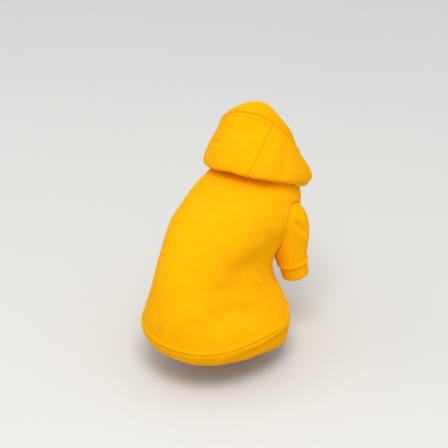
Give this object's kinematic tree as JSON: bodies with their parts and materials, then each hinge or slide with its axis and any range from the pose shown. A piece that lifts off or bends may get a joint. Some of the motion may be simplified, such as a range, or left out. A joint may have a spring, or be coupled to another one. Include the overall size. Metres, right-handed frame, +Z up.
{
  "type": "dog hoodie",
  "caption": "Pull-over hoodie for a small sitting dog: shaped body, short cuffed sleeves, hem band and a hood lying back round the neck.",
  "frame": {"origin": "inner face of the back at the withers, where the wearer's back carries the garment", "axes": "+Y the way the wearer faces, +X the wearer's right side, +Z up, with the wearer sitting"},
  "size_m": [0.1835, 0.2771, 0.2921],
  "materials": {
    "fleece": "golden-yellow sweatshirt fleece, matt",
    "band": "golden-yellow band of the same fleece folded double, matt"
  },
  "bodies": {
    "root": {"back_panel": "fleece", "belly_panel": "fleece", "sleeve_right": "fleece", "sleeve_left": "fleece", "cuff_right": "band", "cuff_left": "band", "hem_band": "band", "hood_right": "fleece", "hood_left": "fleece", "hood_casing": "band"}
  },
  "joints": []
}
